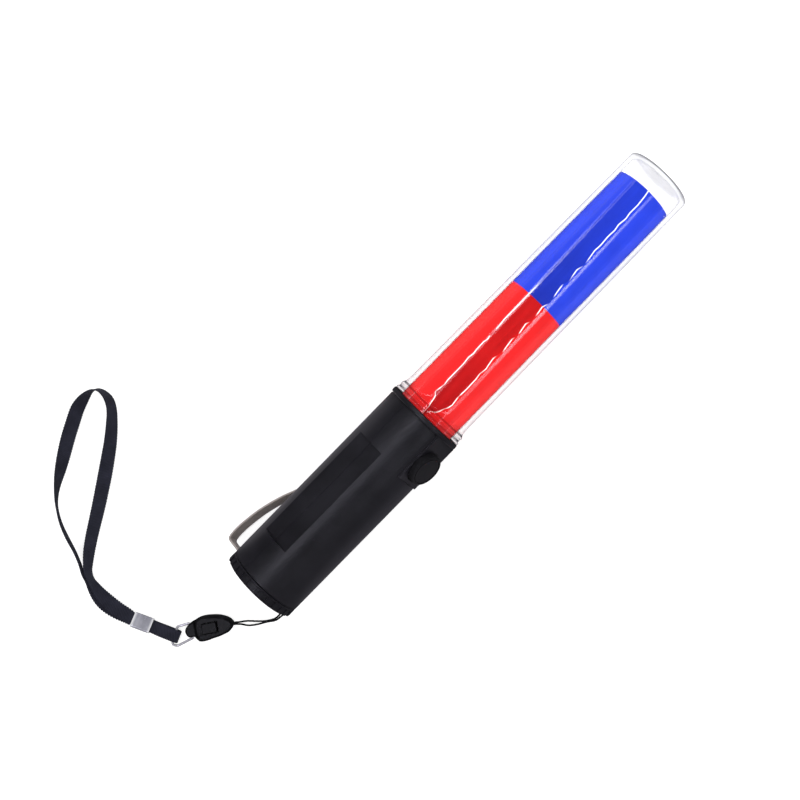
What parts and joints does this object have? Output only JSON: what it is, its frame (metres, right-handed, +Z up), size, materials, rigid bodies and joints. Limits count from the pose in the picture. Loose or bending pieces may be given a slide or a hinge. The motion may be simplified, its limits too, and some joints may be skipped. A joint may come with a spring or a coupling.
{
  "type": "traffic baton light",
  "caption": "Hand-held traffic baton light: black round handle with side push button, clear lit tube with red and blue film sleeves, belt clip and wrist strap.",
  "frame": {"origin": "centre of the end cap's flat base, on the baton's long axis", "axes": "+X along the baton towards the lit tip, +Z up with the baton lying down; the button faces 56 degrees off +Z towards -Y"},
  "size_m": [0.3242, 0.1448, 0.0399],
  "materials": {
    "black_plastic": "satin moulded black with a slight blue tint",
    "cap_plastic": "satin moulded black",
    "seal_rubber": "matt",
    "spring_steel": "bright drawn wire",
    "cartridge_plastic": "fine matt",
    "cell_jacket": "plain shrink jacket, no print",
    "contact_nickel": "nickel plated",
    "board_green": "solder mask",
    "chassis_plastic": "natural white moulding",
    "screw_steel": "zinc plated",
    "switch_black": "moulded",
    "switch_white": "moulded",
    "component_black": "moulded packages",
    "button_rubber": "soft matt",
    "board_white": "white solder mask",
    "led_red": "clear red lens",
    "led_blue": "clear blue lens",
    "clear_acrylic": "clear gloss",
    "film_red": "translucent gloss sheet",
    "film_blue": "translucent gloss sheet",
    "wire_red": "insulation",
    "wire_black": "insulation",
    "clip_steel": "satin spring steel",
    "connector_black": "polished",
    "ring_metal": "bright plated",
    "ribbon_navy": "woven polyester",
    "ferrule_sheet": "crimped bright sheet",
    "cord_black": "braided"
  },
  "bodies": {
    "handle": {"handle_shell": "black_plastic", "inner_chassis": "chassis_plastic", "chassis_screws": "screw_steel", "contact_board": "board_green", "plus_terminal": "spring_steel", "minus_terminal": "contact_nickel", "switch_board": "board_green", "tact_switch": "switch_black", "board_components": "component_black", "led_board": "board_white", "red_leds": "led_red", "blue_leds": "led_blue", "tip_spacer": "chassis_plastic", "tube_seal": "seal_rubber", "lens_tube": "clear_acrylic", "red_film": "film_red", "blue_film": "film_blue", "lead_wire_red": "wire_red", "lead_wire_black": "wire_black", "clip_screws": "screw_steel", "cartridge_frame": "cartridge_plastic", "battery_cell_1": "cell_jacket", "battery_cell_2": "cell_jacket", "battery_cell_3": "cell_jacket", "cartridge_springs": "spring_steel", "cartridge_plates": "contact_nickel"},
    "push_button": {"button": "button_rubber", "switch_plunger": "switch_white"},
    "spring_clip": {"belt_clip": "clip_steel"},
    "cap_travel": {"cap_seal": "seal_rubber"},
    "screw_cap": {"end_cap": "cap_plastic", "cap_spring": "spring_steel"},
    "lanyard_plug": {"connector_plug": "connector_black", "cord_loop": "cord_black"},
    "lanyard_socket": {"connector_socket": "connector_black"},
    "press_tab": {"release_tab": "connector_black"},
    "ring": {"swivel_ring": "ring_metal"},
    "hand_strap": {"wrist_strap": "ribbon_navy", "strap_ferrule": "ferrule_sheet"}
  },
  "joints": [
    {"name": "button_press", "type": "slide", "parent": "handle", "child": "push_button", "axis": [0, 0.829, -0.5592], "range_m": [0, 0.0012], "stiffness_N_per_m": 900, "springref_m": -0.0005},
    {"name": "clip_flex", "type": "hinge", "parent": "handle", "child": "spring_clip", "pos_m": [0.05, 0.01567, -0.01057], "axis": [0, -0.5592, -0.829], "range_deg": [0, 6], "stiffness_Nm_per_rad": 2.5, "deforming": ["belt_clip"]},
    {"name": "cap_slide", "type": "slide", "parent": "handle", "child": "cap_travel", "axis": [-1, 0, 0], "range_m": [0, 0.0121]},
    {"name": "cap_turn", "type": "hinge", "parent": "cap_travel", "child": "screw_cap", "pos_m": [0, 0, 0], "axis": [-1, 0, 0], "range_deg": [0, 1440]},
    {"name": "cord_swing", "type": "hinge", "parent": "screw_cap", "child": "lanyard_plug", "pos_m": [-0.001, -0.01351, -0.0078], "axis": [0, 0, 1], "range_deg": [-20, 25], "deforming": ["cord_loop"]},
    {"name": "quick_release", "type": "slide", "parent": "lanyard_plug", "child": "lanyard_socket", "axis": [-0.8281, 0.5606, 0], "range_m": [0, 0.014]},
    {"name": "tab_press", "type": "slide", "parent": "lanyard_socket", "child": "press_tab", "axis": [0, 0, -1], "range_m": [0, 0.0008], "stiffness_N_per_m": 600, "springref_m": -0.0004},
    {"name": "ring_tilt", "type": "hinge", "parent": "lanyard_socket", "child": "ring", "pos_m": [-0.04025, 0.00794, -0.0175], "axis": [0.5606, 0.8281, 0], "range_deg": [-20, 20]},
    {"name": "strap_tilt", "type": "hinge", "parent": "ring", "child": "hand_strap", "pos_m": [-0.04775, 0.01205, -0.0175], "axis": [-0.9207, -0.3903, 0], "range_deg": [-20, 20]}
  ],
  "couplings": [
    {"joint": "cap_slide", "follows": "cap_turn", "m_per_rad": 0.00047746}
  ]
}
